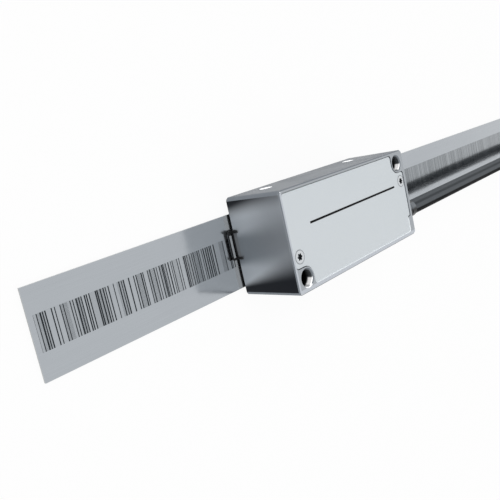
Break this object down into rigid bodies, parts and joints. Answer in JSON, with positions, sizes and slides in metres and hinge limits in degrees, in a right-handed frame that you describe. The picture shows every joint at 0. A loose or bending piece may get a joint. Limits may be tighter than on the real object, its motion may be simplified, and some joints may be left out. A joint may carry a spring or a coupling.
{
  "type": "linear encoder",
  "caption": "Exposed absolute linear encoder: a boxy metal scanning head rides just above a graduated steel scale tape, with a coiled lead and a round screw connector.",
  "frame": {"origin": "on the machine bed, under the middle of the scale tape's length and of the head's width", "axes": "+X along the tape, from the end beside the head towards the lead; +Z away from the bed, through the head's cover plate; +Y towards the side with the threaded holes"},
  "size_m": [0.348, 0.0704, 0.0152],
  "materials": {
    "housing_metal": "fine milled, satin",
    "cover_metal": "pale satin coating",
    "screw_steel": "bright",
    "seal_rubber": "matte",
    "carrier_plastic": "matte black",
    "optical_glass": "polished",
    "lamp_resin": "clear resin",
    "chip_black": "matte",
    "board_laminate": "solder mask",
    "component_ceramic": "matte",
    "socket_plastic": "matte",
    "wire_insulation": "smooth",
    "lead_jacket": "semi-matte",
    "sleeve_metal": "nickel plated",
    "clamp_metal": "plain",
    "tape_steel": "fine satin",
    "film_adhesive": "matte",
    "track_layer": "graduated",
    "tie_nylon": "matte",
    "connector_metal": "nickel plated, satin",
    "insert_plastic": "matte",
    "contact_gold": "gold plated"
  },
  "bodies": {
    "scanning_head": {"head_housing": "housing_metal", "cover_plate": "cover_metal", "cover_gasket": "seal_rubber", "cover_screws": "screw_steel", "window_carrier": "carrier_plastic", "scanning_window": "optical_glass", "window_seal": "seal_rubber", "optics_block": "carrier_plastic", "condenser_lens": "optical_glass", "light_source": "lamp_resin", "photo_sensor": "chip_black", "main_board": "board_laminate", "processor_chip": "chip_black", "board_parts": "component_ceramic", "board_screws": "screw_steel", "wire_socket": "socket_plastic", "lead_wires": "wire_insulation", "cable_inner_end": "lead_jacket", "cable_clamp": "clamp_metal", "cable_sleeve": "sleeve_metal", "sleeve_seal": "seal_rubber", "cable_tube": "lead_jacket", "cable_coil": "lead_jacket", "cable_tail": "lead_jacket", "coil_ties": "tie_nylon", "back_nut": "connector_metal", "connector_shell": "connector_metal", "snap_ring": "screw_steel", "contact_insert": "insert_plastic", "contact_pins": "contact_gold"},
    "scale": {"scale_tape": "tape_steel", "adhesive_film": "film_adhesive", "graduation_track": "track_layer"},
    "coupling": {"coupling_ring": "connector_metal", "ring_seal": "seal_rubber"}
  },
  "joints": [
    {"name": "scale_slide", "type": "slide", "parent": "scanning_head", "child": "scale", "axis": [1, 0, 0], "range_m": [-0.266, 0.054]},
    {"name": "coupling_turn", "type": "hinge", "parent": "scanning_head", "child": "coupling", "pos_m": [0.146, -0.02, 0.00725], "axis": [1, 0, 0], "continuous": true}
  ]
}
